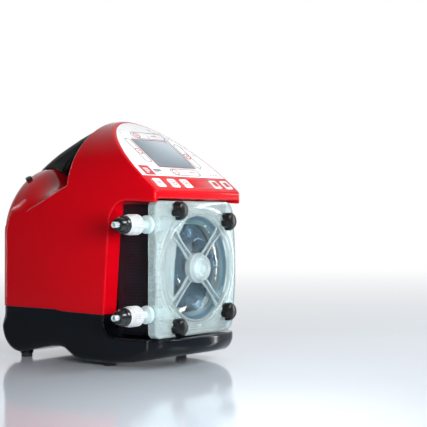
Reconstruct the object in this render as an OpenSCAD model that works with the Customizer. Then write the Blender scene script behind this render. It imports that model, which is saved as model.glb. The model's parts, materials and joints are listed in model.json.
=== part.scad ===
// Bench peristaltic pump: a moulded case, a roller pump head behind a clear cover,
// a sloping control panel, a carrying handle and a rear connection plate.
// Lengths are in millimetres. +Z is up, the pump head faces -Y and both hose
// connections leave towards -X. The origin is on the floor, at the middle of the
// four mounting holes in the feet.

/* [Case] */
// Width of the case over its side walls
case_w = 177; // [174:0.5:180]
// Length of the case, from the hood's front face to the rear wall
case_l = 281.5; // [279:0.5:285]
// Wall thickness of the case mouldings
wall = 3; // [2.5:0.1:3.2]
// Height of the hood's crown above the floor
crown_z = 321; // [318:1:324]
// Height at which the hood's sides start to curve inwards
hood_spring_z = 237; // [235:1:239]
// Height of the case seam beside the pump head
seam_front_z = 65.5; // [65:0.5:66.5]
// Height of the case seam at the rear wall
seam_rear_z = 69; // [68:0.5:70]
// Height of the underside of the case where the feet sit
belly_z = 5; // [4:0.5:6]

/* [Control panel] */
// Slope of the control panel above the horizontal
panel_tilt = 38; // [37.5:0.5:38.5]
// Height of the panel's lower edge
panel_z = 225; // [224:0.5:226]
// Length of the red key strip, measured up the slope
strip_len = 27; // [26:0.5:29]
// Width of the display glass
display_w = 74; // [70:1:76]
// Height of the display glass, measured up the slope
display_h = 60; // [56:1:62]
// Width of a square key
key_w = 15; // [13:0.5:15.5]
// Travel of a key
key_travel = 0.8; // [0.5:0.1:1]

/* [Pump head] */
// Height of the rotor's axis above the floor
head_z = 125.5; // [125:0.5:126]
// Radius of the raceway that the tube is pressed against
race_r = 62; // [61.5:0.1:62]
// Radius of the clear window
window_r = 66.5; // [66:0.1:67]
// Distance of the rollers' axes from the rotor's axis
roller_orbit = 46.4; // [46:0.1:46.4]
// Radius of a roller
roller_r = 9; // [8.5:0.1:9]
// Outer diameter of the pump tube
tube_d = 12; // [11.5:0.1:12]
// Height of each hose connection above and below the rotor's axis
port_offset = 56; // [55.8:0.1:56]
// Distance of the hose connections behind the hood's front face
port_y = 18; // [18:0.1:18.2]

/* [Mounting] */
// Distance of the feet from the centre plane
foot_x = 72; // [68:1:74]
// Distance of the front feet behind the hood's front face
foot_front_y = 91; // [88:1:100]
// Distance of the rear feet behind the hood's front face
foot_rear_y = 247; // [240:1:250]
// Radius of the mounting holes, for M5 bolts
bolt_hole_r = 2.75; // [2.6:0.05:3]

/* [Hidden] */
$fn = 48;

half_w = case_w / 2;
front_y = -(foot_front_y + foot_rear_y) / 2;
gap = 0.3;
big = 400;

// Case shape
rear_corner_r = 14;
front_corner_r = 5;
handle_w = 36;
hood_rear_y = 155;
hood_rake = 0.15;
shoulder_z = 233;
shoulder_fall = 0.435;
saddle_z = 238;
dome_z = 262;
dome_r = 24;
chin_bow_r = 234;
chin_reach = 13;
chin_corner_r = 30;
seam_step_y = 162;
seam_gap = 0.5;
recess_z0 = 38.5;
recess_top_z = 209.2;
recess_r = 20;
skirt_z = 214;
post_x = half_w - 8;
post_ys = [118, 258];

// Control panel, in its own plane: x across, y up the slope, z out of it
panel_y = 1.5;
panel_s0 = (hood_spring_z - panel_z) / sin(panel_tilt);
panel_hs = (crown_z - hood_spring_z) / sin(panel_tilt);
panel_rim = 3;
film_t = 0.6;
key_l = 17;
key_s = 14.5;
key_xs = [-66.5, -38.5, -13, 48, 72];
display_x = 4;
display_s = 81;

// Pump head, distances behind the hood's front face
cover_y = 3.6;
cover_back_y = 16.6;
window_y = 9.4;
window_t = 2.2;
hub_r = 19.5;
hub_front_y = -2;
rotor_front_y = 12.6;
roller_back_y = 24;
disc_back_y = 30;
block_y = 17.2;
flange_back_y = 26;
block_back_y = 76;
gearbox_back_y = 84;
block_half_w = 64.5;
block_z0 = 40.5;
block_z1 = 207;
shaft_r = 7;
nose_r = 5;
axle_r = 4;
running = 0.05;
wheel_teeth = 36;
pinion_teeth = 12;
gear_module = 2;
motor_z = gear_module * (wheel_teeth + pinion_teeth) / 2;
rocker_y = case_l - 3;
rocker_half = 8.8;
rocker_swing = 14;
knob_places = [[60, 60], [60, -60], [-42.5, -73.6], [-42.5, 73.6]];
knob_r = 12.5;
squeezed_t = race_r - roller_orbit - roller_r - 2 * gap;

// Fittings, distances from the centre plane towards -X
stub_x0 = 83.4;
stub_x1 = 95;
thread_x1 = 114;
nut_x0 = 97;
nut_x1 = 124;
insert_x1 = 137;
spigot_x1 = 145;
spigot_r = 3.75;

// ---------------------------------------------------------------- helpers

function arc(cx, cy, r, a0, a1, n = 8) =
    [for (i = [0:n]) let (a = a0 + (a1 - a0) * i / n) [cx + r * cos(a), cy + r * sin(a)]];

function smooth(t) = (1 - cos(180 * min(1, max(0, t)))) / 2;

module from_front() translate([0, front_y, 0]) children();

module at_head(x = 0, z = 0) translate([x, front_y, head_z + z]) children();

module on_panel() translate([0, front_y + panel_y, panel_z]) rotate([panel_tilt, 0, 0]) children();

// A shape drawn as Y and Z, extruded across X about the centre plane
module across_x(w) rotate([90, 0, 90]) linear_extrude(w, center = true) children();

// A shape drawn as X and Z, extruded from y0 to y1
module along_y(y0, y1) translate([0, y1, 0]) rotate([90, 0, 0]) linear_extrude(y1 - y0) children();

module disc_y(r, y0, y1) translate([0, y1, 0]) rotate([90, 0, 0]) cylinder(r = r, h = y1 - y0);

module ring_y(r_out, r_in, y0, y1) difference() {
    disc_y(r_out, y0, y1);
    disc_y(r_in, y0 - 1, y1 + 1);
}

// A round profile of [distance from the centre plane, radius] points, turned about an X axis
module turned_x(profile) rotate([0, -90, 0])
    rotate_extrude() polygon([for (p = profile) [p[1], p[0]]]);

// A round profile of [radius, y] points, turned about the Y axis
module turned_y(profile) rotate([90, 0, 0])
    rotate_extrude() polygon([for (p = profile) [p[0], -p[1]]]);

module at_port(z) at_head(0, z) translate([0, port_y, 0]) children();

module box(x0, x1, y0, y1, z0, z1) translate([x0, y0, z0]) cube([x1 - x0, y1 - y0, z1 - z0]);

module round_rect(w, h, r) translate([-w / 2 + r, -h / 2 + r]) union() {
    translate([-r, 0]) square([w, h - 2 * r]);
    translate([0, -r]) square([w - 2 * r, h]);
    for (x = [0, w - 2 * r], y = [0, h - 2 * r]) translate([x, y]) circle(r);
}

// One slice between two convex sections with equal point counts
module slice(a, b) {
    n = len(a);
    sides = [for (i = [0:n - 1]) let (k = (i + 1) % n) each [[i, n + i, n + k], [i, n + k, k]]];
    caps = [[for (i = [0:n - 1]) i], [for (i = [n - 1:-1:0]) n + i]];
    hull() polyhedron(concat(a, b), concat(sides, caps));
}

// A solid that runs through a row of convex sections
module loft(sections) for (i = [0:len(sections) - 2]) slice(sections[i], sections[i + 1]);

// ---------------------------------------------------------------- case skin

// Half width of the case in plan, narrowed where its vertical corners are rounded
function plan_half(y, d) =
    let (f = front_corner_r, r = rear_corner_r, q = case_l - r)
    y < f ? half_w - d - f + sqrt(max(0, f * f - pow(f - max(y, d), 2)))
    : y > q ? half_w - r + sqrt(max(0, pow(r - d, 2) - pow(min(y, case_l - d) - q, 2)))
    : half_w - d;

// One arched section: straight sides from z0 up to spring, then half an ellipse up to top
function arch_section(y, hw, z0, spring, top, n) = concat(
    [[hw, y, z0]],
    [for (i = [0:n]) let (a = 180 * i / n) [hw * cos(a), y, spring + (top - spring) * sin(a)]],
    [[-hw, y, z0]]);

function shoulder(y) = shoulder_z - shoulder_fall * max(0, y - hood_rear_y);

// Height of the rear body on the centre plane: a saddle under the handle, then the dome
function spine(y) = y > case_l - dome_r
    ? dome_z - dome_r + sqrt(max(0, pow(dome_r, 2) - pow(y - case_l + dome_r, 2)))
    : saddle_z + (dome_z - saddle_z) * smooth((y - 195) / 55);

function steps(y0, y1, n) = [for (i = [0:n]) y0 + (y1 - y0) * i / n];

// Stations closer together towards y1, where a quarter circle of radius r ends
function round_steps(y1, r, n) = [for (i = [1:n]) y1 - r * (1 - sin(90 * i / n))];

module hood_skin(d) {
    f = front_corner_r;
    ys = concat([d, f / 5 + d, f / 2 + d, f], [hood_rear_y]);
    difference() {
        loft([for (y = ys) arch_section(y, plan_half(y, d), 60, hood_spring_z, crown_z - d, 36)]);
        translate([0, hood_rear_y - d, shoulder_z]) rotate([atan(hood_rake), 0, 0])
            box(-big, big, 0, big, -big, big);
    }
}

module rear_skin(d) {
    q = case_l - rear_corner_r;
    ys = concat([120, hood_rear_y], steps(hood_rear_y + 13, 247, 7), [case_l - dome_r + 3, q],
        round_steps(case_l - d, rear_corner_r - d, 6));
    loft([for (y = ys)
        arch_section(y, plan_half(y, d), 60, shoulder(y) - d / 2, spine(y + d / 2) - d, 36)]);
}

module case_skin(d) {
    hood_skin(d);
    rear_skin(d);
}

// Everything below the seam, lifted by dz
module below_seam(dz) across_x(big) polygon([
    [-60, -60], [case_l + 60, -60], [case_l + 60, seam_rear_z + dz],
    [seam_step_y + 13, seam_rear_z + dz], [seam_step_y, seam_rear_z - 2 + dz],
    [80, seam_front_z + dz], [-60, seam_front_z + dz]]);

// Side view of the recess round the pump head, open to the front
module recess_profile(grow) offset(delta = grow) offset(r = recess_r) offset(delta = -recess_r)
    polygon([[-60, recess_z0], [89.6, recess_z0], [76.8, recess_top_z + 3.4],
             [-60, recess_top_z - 2.6]]);

module panel_outline(d, s0) polygon(concat(
    [[half_w - d, s0]],
    [for (i = [0:2:60]) let (a = 90 * i / 60, s = panel_s0 + (panel_hs - d) * sin(a))
        if (s > s0) [(half_w - d) * cos(a), s]],
    [for (i = [58:-2:0]) let (a = 90 * i / 60, s = panel_s0 + (panel_hs - d) * sin(a))
        if (s > s0) [-(half_w - d) * cos(a), s]],
    [[-(half_w - d), s0]]));

module upper_enclosure() color("#c8051c") difference() {
    from_front() difference() {
        case_skin(0);
        difference() {
            intersection() {
                case_skin(wall);
                translate([0, panel_y, panel_z]) rotate([panel_tilt, 0, 0])
                    box(-big, big, -big, big, -big, -wall);
            }
            across_x(big) recess_profile(wall);
            box(-half_w, half_w, -1, 80, 0, skirt_z + 4);
            for (x = [-post_x, post_x], y = post_ys) translate([x, y, 0]) cylinder(r = 5.5, h = 92);
        }
        below_seam(seam_gap);
        across_x(big) recess_profile(0);
        box(-half_w + 5, half_w - 5, -1, 75, 60, skirt_z);
        box(-half_w + 5, half_w - 5, wall, 75, 60, skirt_z + 1);
        box(-block_half_w - gap, block_half_w + gap, 60, 100, 60, block_z1 + gap);
        for (x = [-post_x, post_x], y = post_ys) translate([x, y, 0]) cylinder(r = 2, h = 86);
        box(-70.3, 70.3, case_l - 2.2, case_l + 1, 87.7, 208.3);
        box(-62, 62, case_l - 10, case_l + 1, 96, 200);
    }
    at_vent() {
        translate([0, 0, -12]) cylinder(r = 3, h = 14);
        cylinder(r = 5, h = 9);
    }
    on_panel() {
        translate([-big / 2, -big / 4, 0]) cube([big, big, big]);
        translate([0, 0, -film_t]) linear_extrude(5) panel_outline(panel_rim, strip_len);
        translate([display_x, display_s, -10]) linear_extrude(20) round_rect(display_w + 4, display_h + 4, 3);
        for (x = key_xs) translate([x, key_s, -10]) linear_extrude(20)
            round_rect(key_w + 2 * gap, key_l + 2 * gap, 2.5);
    }
}

// ---------------------------------------------------------------- lower case

// Plan of the base, drawn inset by d: a bowed chin, rounded front and rear corners
module base_plan(d) {
    cx = half_w - chin_corner_r;
    reach = chin_bow_r - chin_corner_r;
    cy = chin_bow_r - chin_reach - sqrt(reach * reach - cx * cx);
    t = asin(cx / reach);
    rx = half_w - rear_corner_r;
    ry = case_l - rear_corner_r;
    polygon(concat(
        arc(0, chin_bow_r - chin_reach, chin_bow_r - d, 270 - t, 270 + t, 16),
        arc(cx, cy, chin_corner_r - d, 270 + t + 10, 360, 5),
        arc(rx, ry, rear_corner_r - d, 0, 90, 6),
        arc(-rx, ry, rear_corner_r - d, 90, 180, 6),
        arc(-cx, cy, chin_corner_r - d, 180, 260 - t, 5)));
}

// Side view of the base: a rising chin, a flat belly, a hand arch and a rounded tail
module base_profile(d) polygon(concat(
    [[-20, 19 + d], [0, 16 + d], [40, 8.6 + d], [76, belly_z + d], [129, belly_z + d]],
    arc(129, belly_z + 34 + d, 34, 270, 310, 4),
    [[170, 20.5 + d], [200, 17 + d], [235, 9.4 + d]],
    arc(247, 7.3 + 34.5 + d, 34.5, 270, 350, 8),
    [[case_l + 20, 90], [-20, 90]]));

module lower_enclosure() color("#17181b") difference() {
    from_front() {
        difference() {
            intersection() {
                linear_extrude(90) base_plan(0);
                across_x(big) base_profile(0);
            }
            intersection() {
                linear_extrude(90) base_plan(wall);
                across_x(big) base_profile(wall);
                across_x(big) difference() {
                    polygon([[-40, -10], [case_l, -10], [case_l, 90], [-40, 90]]);
                    recess_profile(wall);
                }
            }
            across_x(big) recess_profile(0);
            difference() {
                box(-big, big, -60, case_l + 60, 50, 100);
                below_seam(-seam_gap);
            }
        }
        for (x = [-post_x, post_x], y = post_ys) translate([x, y, y > 200 ? 10 : belly_z + 1])
            cylinder(r = 5.5, h = y > 200 ? seam_rear_z - 11 : seam_front_z - belly_z - 2);
        for (x = [-foot_x, foot_x], y = [foot_front_y, foot_rear_y]) translate([x, y, belly_z])
            cylinder(r = 9, h = 8);
    }
    from_front() for (x = [-foot_x, foot_x], y = [foot_front_y, foot_rear_y])
        translate([x, y, -1]) cylinder(r = bolt_hole_r, h = 30);
    from_front() for (x = [-post_x, post_x], y = post_ys) translate([x, y, -1]) {
        cylinder(r = 2.2, h = 90);
        cylinder(r = 4, h = 13);
    }
    from_front() box(-block_half_w - gap, block_half_w + gap, 20, gearbox_back_y + 4, block_z0 - gap, 100);
}

module enclosure_gasket() color("#202020") from_front() difference() {
    intersection() {
        linear_extrude(90) base_plan(0.7);
        across_x(big) polygon([
            [80, seam_front_z - seam_gap], [seam_step_y, seam_rear_z - 2 - seam_gap],
            [seam_step_y + 13, seam_rear_z - seam_gap], [case_l, seam_rear_z - seam_gap],
            [case_l, seam_rear_z + seam_gap], [seam_step_y + 13, seam_rear_z + seam_gap],
            [seam_step_y, seam_rear_z - 2 + seam_gap], [80, seam_front_z + seam_gap]]);
    }
    translate([0, 0, 1]) linear_extrude(90) base_plan(wall);
    across_x(big) recess_profile(0.7);
}

module feet() color("#1c1c1c") from_front()
    for (x = [-foot_x, foot_x], y = [foot_front_y, foot_rear_y]) translate([x, y, 0]) difference() {
        cylinder(r = 7.5, h = belly_z);
        translate([0, 0, -1]) cylinder(r = bolt_hole_r, h = belly_z + 2);
    }

module case_screws() color("silver") from_front()
    for (x = [-post_x, post_x], y = post_ys) translate([x, y, 0]) {
        translate([0, 0, 12]) cylinder(r = 2, h = 68);
        translate([0, 0, 9.2]) difference() {
            cylinder(r = 3.6, h = 2.8);
            translate([0, 0, -1]) cylinder(r = 1.6, h = 2.6, $fn = 6);
        }
    }

// ---------------------------------------------------------------- handle

// Side view of the grip: a falling top line, a finger space and a root on the dome
module handle_profile() polygon(concat(
        [[130, 318.4], [150, 317], [171, 311.5], [201, 300], [231, 287]],
        arc(255, 262, 13.5, 62, 0, 6),
        [[267, 250], [236, 236], [227, 236], [227, 256]],
        arc(219, 258, 8, 0, 64, 4),
        [[200, 275], [175, 286], [150, 290], [130, 291]]));

module carry_handle() color("#141416") from_front() difference() {
    across_x(handle_w) handle_profile();
    hood_skin(0);
    rear_skin(0);
}

// ---------------------------------------------------------------- panel

module panel_overlay() color("white") on_panel() translate([0, 0, -film_t]) linear_extrude(film_t)
    difference() {
        panel_outline(panel_rim + 0.3, strip_len + 0.3);
        translate([display_x, display_s]) round_rect(display_w, display_h, 1.5);
    }

module display_module() color("#2b3a44") on_panel() translate([display_x, display_s, 0])
    difference() {
        translate([0, 0, -8.5]) linear_extrude(7.7) round_rect(display_w + 3, display_h + 3, 2);
        translate([0, 0, -2.6]) linear_extrude(3) round_rect(display_w - 4, display_h - 4, 1);
    }

module display_glass() color("#9fb4bf") on_panel() translate([display_x, display_s, -0.7])
    linear_extrude(0.8) round_rect(display_w - 0.4, display_h - 0.4, 1.5);

module control_board() color("#2d6a3a") on_panel() {
    translate([-60, 8, -14]) cube([120, 97, 1.6]);
    for (x = key_xs) translate([x - 3, key_s - 3, -12.4]) cube([6, 6, 3.5]);
    translate([-30, 50, -12.4]) cube([68, 40, 3]);
}

module key(x) color("white") on_panel() translate([x, key_s, 0]) {
    translate([0, 0, -3.6]) linear_extrude(4.5) round_rect(key_w, key_l, 2.2);
    translate([0, 0, -6.6]) cylinder(r = 2, h = 3.2);
}

module key_menu() key(key_xs[0]);
module key_down() key(key_xs[1]);
module key_up() key(key_xs[2]);
module key_stop() key(key_xs[3]);
module key_start() key(key_xs[4]);

// Rubber domes, which a key meets at the end of its travel
module key_domes() color("#9aa3a8") on_panel() for (x = key_xs) translate([x, key_s, -8.9])
    difference() {
        cylinder(r = 3.4, h = 5.2 - key_travel);
        translate([0, 0, -1]) cylinder(r = 2.4, h = 8);
    }

// ---------------------------------------------------------------- rear plate

socket_places = [[-50, 186], [-50, 160], [-50, 134], [-50, 108]];

module rear_plate() color("#1b1c1e") from_front() difference() {
    along_y(case_l - 2, case_l + 1) translate([0, 148]) round_rect(140, 120, 6);
    for (p = socket_places) translate([p[0], 0, p[1]]) disc_y(8.2, case_l - 5, case_l + 5);
    along_y(case_l - 5, case_l + 5) translate([24, 118]) round_rect(48, 28, 3);
    along_y(case_l - 5, case_l + 5) translate([24, 168]) square([30, 22], center = true);
    for (x = [-64, 64], z = [94, 202]) translate([x, 0, z]) disc_y(1.6, case_l - 5, case_l + 5);
}

module rear_plate_screws() color("silver") from_front() for (x = [-64, 64], z = [94, 202])
    translate([x, 0, z]) difference() {
        union() {
            disc_y(1.5, case_l - 2, case_l + 1);
            disc_y(3, case_l + 1, case_l + 3);
        }
        disc_y(1.3, case_l + 1.8, case_l + 4, $fn = 6);
    }

module signal_sockets() color("#303236") from_front() for (p = socket_places)
    translate([p[0], 0, p[1]]) difference() {
        union() {
            disc_y(8, case_l - 12, case_l + 1);
            disc_y(10, case_l + 1, case_l + 4);
            disc_y(7, case_l + 4, case_l + 10);
        }
        disc_y(5.4, case_l - 4, case_l + 11);
    }

module socket_caps() color("#111111") from_front() for (p = socket_places)
    translate([p[0], 0, p[1]]) difference() {
        union() {
            disc_y(9, case_l + 4, case_l + 13);
            for (a = [0:30:330]) rotate([0, a, 0]) translate([9, 0, 0])
                disc_y(0.9, case_l + 4.6, case_l + 12.4);
        }
        disc_y(7, case_l + 3, case_l + 10);
    }

module power_inlet() color("#101010") from_front() difference() {
    union() {
        along_y(case_l - 18, case_l + 1) translate([24, 118]) round_rect(47.4, 27.4, 3);
        along_y(case_l + 1, case_l + 3) translate([24, 118]) round_rect(52, 32, 4);
    }
    along_y(case_l - 14, case_l + 6) translate([24, 118]) square([24, 16], center = true);
}

// The rocker turns about its own X axis and rests with its lower half pressed in
module power_rocker() color("#8f0a12") from_front() translate([24, rocker_y, 168])
    rotate([rocker_swing / 2, 0, 0]) rotate([90, 0, 90]) linear_extrude(27, center = true) polygon(concat(
        [[-6, -4], [-6, 4]], [[3, rocker_half], [6.2, rocker_half]],
        arc(22, 0, 18, 152, 208, 6), [[6.2, -rocker_half], [3, -rocker_half]]));

module at_vent() from_front() translate([-58, case_l - 24, 243]) rotate([0, -32, 0]) children();

module vent_plug() color("#111111") at_vent() {
    translate([0, 0, -5]) cylinder(r = 2.9, h = 5);
    cylinder(r = 4.4, h = 4);
}

module power_supply() color("#7d8087") from_front() {
    box(-58, 58, 198, 262, 26, 27.6);
    box(-50, -20, 202, 250, 27.6, 56);
    box(-10, 20, 204, 246, 27.6, 50);
    for (x = [32, 46], y = [210, 228, 246]) translate([x, y, 27.6]) cylinder(r = 5.5, h = 22);
    for (x = [-52, 52]) {
        translate([x, 203, 20.5]) cylinder(r = 3, h = 5.5);
        translate([x, 257, 13]) cylinder(r = 3, h = 13);
    }
}

// ---------------------------------------------------------------- gearbox

// The cuts that the head's flange and its gearbox housing share
module head_cuts() {
    disc_y(race_r + 6.3, block_y - 1, flange_back_y + 0.2);
    disc_y(race_r - 1, block_y, 33);
    for (p = knob_places) translate([p[0], 0, p[1]]) {
        disc_y(4.3, block_y - 1, 25.5);
        disc_y(3.2, 20, 34);
    }
    for (z = [-port_offset, port_offset]) translate([-24, port_y, z]) rotate([0, -90, 0])
        cylinder(r = 9, h = 80);
    for (z = [-port_offset, port_offset]) box(-100, -24, port_y - 30, port_y, z - 9, z + 9);
}

module head_flange() color("#1d1f22") at_head() difference() {
    union() {
        along_y(block_y, flange_back_y) translate([0, (block_z0 + block_z1) / 2 - head_z])
            round_rect(144, block_z1 - block_z0, 5);
        for (z = [-port_offset, port_offset]) box(-72, -block_half_w, 22, 29.6, z - 12, z + 12);
    }
    head_cuts();
}

module head_block() color("#222529") at_head() difference() {
    along_y(flange_back_y, block_back_y) translate([0, (block_z0 + block_z1) / 2 - head_z])
        square([2 * block_half_w, block_z1 - block_z0], center = true);
    head_cuts();
    disc_y(14, 33 - 1, 41);
    disc_y(7.6, 30, 48);
    along_y(46, block_back_y + 1) square([110, 148], center = true);
    for (x = [-59.5, 59.5], z = [-79, 76]) translate([x, 0, z]) disc_y(2.1, 50, 90);
    for (s = [-1, 1], i = [0:1:40]) translate([s * block_half_w, 52, -78 + 3.8 * i])
        cube([1.2, 46, 1.6], center = true);
}

module gearbox_plate() color("#26282b") at_head() difference() {
    along_y(block_back_y, gearbox_back_y) translate([0, (block_z0 + block_z1) / 2 - head_z])
        square([2 * block_half_w, block_z1 - block_z0], center = true);
    disc_y(14, block_back_y - 1, gearbox_back_y - 1);
    translate([0, 0, motor_z]) disc_y(9, block_back_y - 1, gearbox_back_y + 1);
    for (x = [-59.5, 59.5], z = [-79, 76]) translate([x, 0, z]) disc_y(2.1, 70, 90);
}

module head_screws() color("silver") at_head() for (x = [-59.5, 59.5], z = [-79, 76])
    translate([x, 0, z]) {
        disc_y(2, 54, gearbox_back_y);
        disc_y(3.6, gearbox_back_y, gearbox_back_y + 3);
    }

module shaft_bearings() color("#b9bdc2") at_head() {
    ring_y(14, shaft_r + running, 34, 41);
    ring_y(14, shaft_r + running, block_back_y, gearbox_back_y - 1);
}

// Spur gear with straight-sided teeth, the first tooth on the X axis
module spur_gear(teeth, y0, y1, bore) {
    pitch_r = gear_module * teeth / 2;
    step = 360 / teeth;
    difference() {
        along_y(y0, y1) polygon([for (i = [0:teeth - 1], p = [[-0.28, -1.3], [-0.12, 0.85],
            [0.12, 0.85], [0.28, -1.3]]) let (a = (i + p[0]) * step, r = pitch_r + p[1] * gear_module)
            [r * cos(a), r * sin(a)]]);
        disc_y(bore, y0 - 1, y1 + 1);
    }
}

module drive_gear() color("#c9a227") at_head() difference() {
    spur_gear(wheel_teeth, 52, 64, shaft_r);
    for (a = [0:60:300]) rotate([0, a, 0]) translate([22, 0, 0]) disc_y(6, 50, 66);
}

module motor_shaft() color("silver") at_head(0, motor_z) {
    rotate([0, 180 / pinion_teeth, 0]) spur_gear(pinion_teeth, 51, 65, 3.9);
    disc_y(3.9, 48, gearbox_back_y + 14);
}

module motor() color("#3a3d42") at_head(0, motor_z) difference() {
    union() {
        along_y(gearbox_back_y, gearbox_back_y + 6) round_rect(58, 58, 5);
        disc_y(28, gearbox_back_y + 6, 160);
        disc_y(22, 160, 168);
        box(-10, 10, 120, 150, 26, 33);
    }
    disc_y(4.2, gearbox_back_y - 1, gearbox_back_y + 16);
}

// ---------------------------------------------------------------- rotor

module drive_shaft() color("silver") at_head() {
    disc_y(shaft_r, 12.8, 80);
    disc_y(nose_r, 3.8, 12.8);
}

module rotor_carrier() color("#5b6b74") at_head() difference() {
    union() {
        disc_y(55, roller_back_y + gap, disc_back_y);
        disc_y(16, rotor_front_y, disc_back_y + 1.5);
    }
    disc_y(shaft_r, 0, 40);
    for (a = [11.5:90:300]) rotate([0, -a, 0]) translate([roller_orbit, 0, 0]) disc_y(axle_r, 20, 40);
    for (a = [56.5:90:350]) rotate([0, -a, 0]) translate([36, 0, 0]) disc_y(9, 20, 40);
}

module roller_axles() color("#dfe3e6") at_head() for (a = [11.5:90:300])
    rotate([0, -a, 0]) translate([roller_orbit, 0, 0]) {
        disc_y(axle_r, rotor_front_y, disc_back_y);
        disc_y(axle_r + 1, 12.2, rotor_front_y);
    }

module roller(n) color("#8fa3ad") at_head() rotate([0, -(11.5 + 90 * n), 0])
    translate([roller_orbit, 0, 0]) ring_y(roller_r, axle_r + running, rotor_front_y + gap, roller_back_y);

module roller_1() roller(0);
module roller_2() roller(1);
module roller_3() roller(2);
module roller_4() roller(3);

module raceway() color("#dfe7ea") at_head() difference() {
    disc_y(race_r + 6, 12.2, flange_back_y);
    disc_y(race_r, 0, 40);
    for (z = [-port_offset, port_offset]) translate([0, port_y, z]) rotate([0, -90, 0])
        cylinder(r = tube_d / 2 + gap, h = 100);
    for (z = [-1, 1]) box(-70, 0, port_y - 6, port_y + 6, min(z * 50, z * 62), max(z * 50, z * 62));
}

// The tube is flattened where the rollers pass and round where it enters the adapters
module tube_leg(z) {
    mid = race_r - squeezed_t / 2;
    side = sign(z);
    translate([-26 / 2, port_y, side * mid]) cube([26, tube_d - 1, squeezed_t], center = true);
    hull() {
        translate([-26, port_y, side * mid]) cube([0.1, tube_d - 1, squeezed_t], center = true);
        translate([-42, port_y, z]) rotate([0, 90, 0]) cylinder(r = tube_d / 2, h = 0.1, $fn = 32);
    }
    translate([-76, port_y, z]) rotate([0, 90, 0]) cylinder(r = tube_d / 2, h = 34, $fn = 32);
}

module pump_tube() color("#e8e2cf") at_head() {
    intersection() {
        ring_y(race_r - 0.1, race_r - 0.1 - squeezed_t, port_y - tube_d / 2 + 0.5, port_y + tube_d / 2 - 0.5);
        box(0, 80, 0, 40, -80, 80);
    }
    for (z = [-port_offset, port_offset]) tube_leg(z);
}

// ---------------------------------------------------------------- head cover

// Front view of the cover, drawn inset by d: straight towards the ports, bowed opposite
function cover_outline(d) =
    let (bow = 420, r = 16, cz = 70, cx = 82 - bow + sqrt(pow(bow - r, 2) - cz * cz), t = asin(cz / (bow - r)))
    concat(
        arc(-74, -77, 9 - d, 180, 270, 6),
        arc(cx, -cz, r - d, 270, 360 - t, 6),
        arc(82 - bow, 0, bow - d, -t + 1, t - 1, 10),
        arc(cx, cz, r - d, t, 90, 6),
        arc(-74, 77, 9 - d, 90, 180, 6));

module spoke(a) rotate([0, a, 0]) {
    box(hub_r - 2, window_r + 3, 6.6, window_y - 0.1, -3.4, 3.4);
    for (z = [-3.4, 1.6]) box(hub_r - 2, window_r + 3, cover_y + 0.2, 7, z, z + 1.8);
}

module head_cover() color("#dcebf2") at_head() {
    difference() {
        union() {
            difference() {
                along_y(cover_y, cover_back_y) polygon(cover_outline(0));
                along_y(cover_y + 3.4, cover_back_y + 1) polygon(cover_outline(2.6));
            }
            disc_y(window_r + 6, cover_y, cover_back_y);
            ring_y(window_r + 3.5, window_r - 1, cover_y - 2, cover_y + 1);
            for (p = knob_places) translate([p[0], 0, p[1]]) disc_y(8, cover_y, cover_back_y);
            for (z = [-34:17:34]) box(-82, -70, cover_y + 2, 15.8, z - 1, z + 1);
            box(-70, 62, cover_y + 1, 14, -80.4, -78.6);
            box(-40, 62, cover_y + 1, 14, 78.6, 80.4);
        }
        disc_y(window_r, cover_y - 8, window_y + 1);
        disc_y(race_r + 6.6, window_y, cover_back_y + 1);
        for (p = knob_places) translate([p[0], 0, p[1]]) disc_y(3.5, 0, 20);
        for (z = [-port_offset, port_offset]) translate([-24, port_y, z]) rotate([0, -90, 0])
            cylinder(r = 9.2, h = 70);
    }
    difference() {
        union() {
            disc_y(hub_r, 2, 12);
            disc_y(hub_r - 2.5, hub_front_y, 2);
            difference() {
                for (a = [45:90:315]) spoke(a);
                disc_y(hub_r - 1, 0, 14);
            }
        }
        disc_y(11, 3.2, 13);
        ring_y(13.5, 12, hub_front_y - 1, hub_front_y + 1);
    }
}

module cover_window() color("#a9c3cf") at_head()
    ring_y(race_r + 6.4, hub_r + gap, window_y, window_y + window_t);

module cover_bearing() color("#c3c7cb") at_head() ring_y(11, nose_r + running, 3.4, 10.4);

module cover_seal() color("#2b2b2b") at_head() ring_y(hub_r - 2, 11, 12, 12.3);

// A thumb knob with a domed face and five flutes, on its screw
module knob(n) color("#0d0d0e") at_head(knob_places[n][0], knob_places[n][1]) {
    difference() {
        turned_y([[0, -9], [5, -9], [9, -7.7], [11.6, -5], [knob_r, -2], [knob_r, cover_y - gap],
            [0, cover_y - gap]]);
        for (a = [0:72:288]) rotate([0, a + 54, 0]) translate([knob_r + 1.6, 0, 0])
            disc_y(4.2, -12, cover_y + 1);
    }
    disc_y(3, cover_y - gap, 30);
}

module knob_1() knob(0);
module knob_2() knob(1);
module knob_3() knob(2);
module knob_4() knob(3);

module threaded_inserts() color("#c9a227") at_head() for (p = knob_places)
    translate([p[0], 0, p[1]]) ring_y(4.3, 3 + running, 18, 25.5);

// ---------------------------------------------------------------- fittings

module adapter() difference() {
    turned_x([[62, 0], [62, 8.4], [stub_x0, 8.4], [stub_x0, 11.5], [stub_x1, 11.5],
        [stub_x1, 8.4], [thread_x1, 8.4], [thread_x1, 0]]);
    turned_x([[61, 0], [61, 6], [76, 6], [76, 4], [thread_x1 + 1, 4], [thread_x1 + 1, 0]]);
}

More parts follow.
